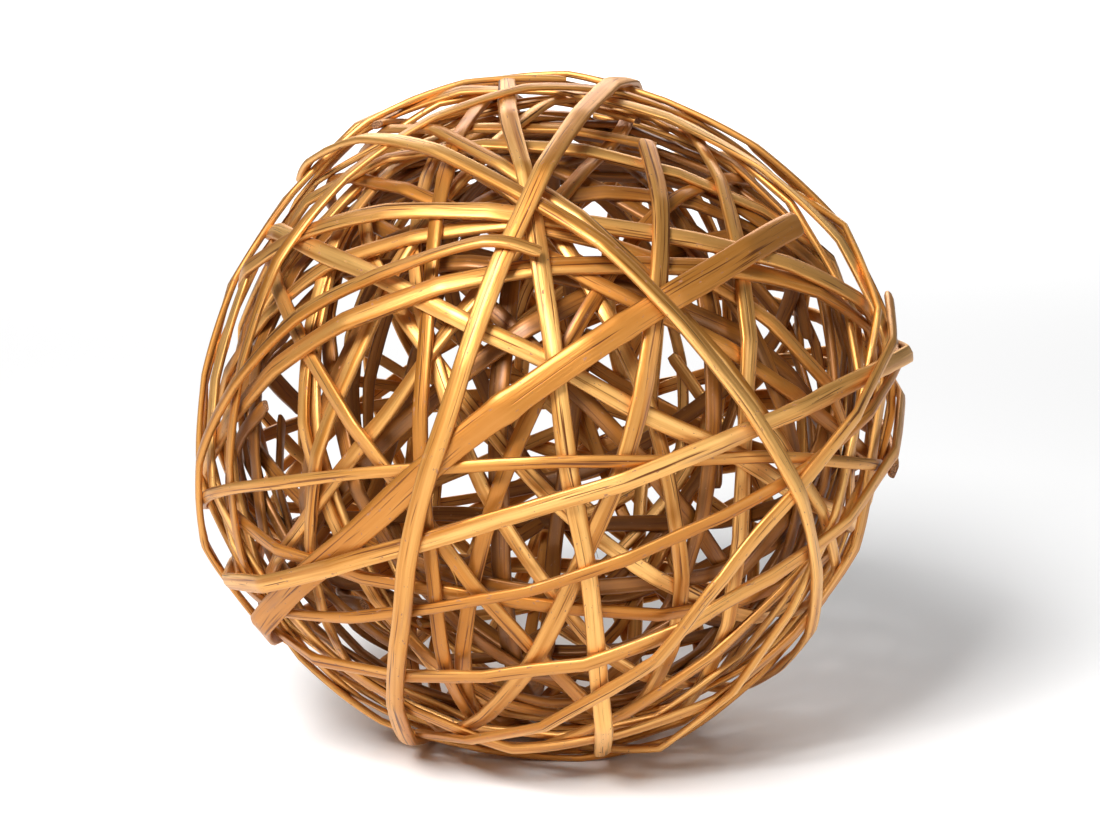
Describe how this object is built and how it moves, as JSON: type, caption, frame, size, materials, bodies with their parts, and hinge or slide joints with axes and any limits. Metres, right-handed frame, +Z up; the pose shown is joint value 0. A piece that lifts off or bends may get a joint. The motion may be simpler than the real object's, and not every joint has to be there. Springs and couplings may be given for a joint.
{
  "type": "decorative sphere",
  "caption": "Hollow openwork ball wound by hand from strips of split willow painted gold, for a bowl, a shelf or a table display.",
  "frame": {"origin": "on the ground, under the middle of the space that the ball takes up", "axes": "+Z up, -Y towards the ball's front, +X to the right of someone who looks at the front"},
  "size_m": [0.2086, 0.1948, 0.1995],
  "materials": {
    "gold_willow": "split willow under thin satin gold paint, with the grain, dark edges and a few bare brown patches"
  },
  "bodies": {
    "root": {"back_hoop": "gold_willow", "bent_arch": "gold_willow", "broad_diagonal": "gold_willow", "cut_upright": "gold_willow", "first_winding_01": "gold_willow", "first_winding_02": "gold_willow", "first_winding_03": "gold_willow", "first_winding_04": "gold_willow", "first_winding_05": "gold_willow", "first_winding_06": "gold_willow", "first_winding_07": "gold_willow", "first_winding_08": "gold_willow", "first_winding_09": "gold_willow", "first_winding_10": "gold_willow", "first_winding_11": "gold_willow", "first_winding_12": "gold_willow", "first_winding_13": "gold_willow", "first_winding_14": "gold_willow", "first_winding_15": "gold_willow", "first_winding_16": "gold_willow", "high_arch": "gold_willow", "inner_belt": "gold_willow", "inner_brace": "gold_willow", "inner_cross": "gold_willow", "inner_curve": "gold_willow", "inner_left_lean": "gold_willow", "inner_left_upright": "gold_willow", "inner_right_lean": "gold_willow", "inner_rim_back": "gold_willow", "inner_rim_front": "gold_willow", "inner_slant": "gold_willow", "inner_upright": "gold_willow", "left_hoop": "gold_willow", "left_rim": "gold_willow", "left_slant": "gold_willow", "left_upright": "gold_willow", "long_slant": "gold_willow", "low_belt": "gold_willow", "low_sweep": "gold_willow", "lower_belt": "gold_willow", "middle_upright": "gold_willow", "right_hoop": "gold_willow", "right_rim": "gold_willow", "right_upright": "gold_willow", "rim_back": "gold_willow", "rim_front": "gold_willow", "rising_belt": "gold_willow", "shoulder_band": "gold_willow", "shoulder_hoop": "gold_willow", "side_sweep": "gold_willow", "tall_left": "gold_willow", "thin_arch": "gold_willow", "thin_belt": "gold_willow", "top_band": "gold_willow", "twin_slant": "gold_willow", "under_hoop": "gold_willow", "upper_slant": "gold_willow"}
  },
  "joints": []
}
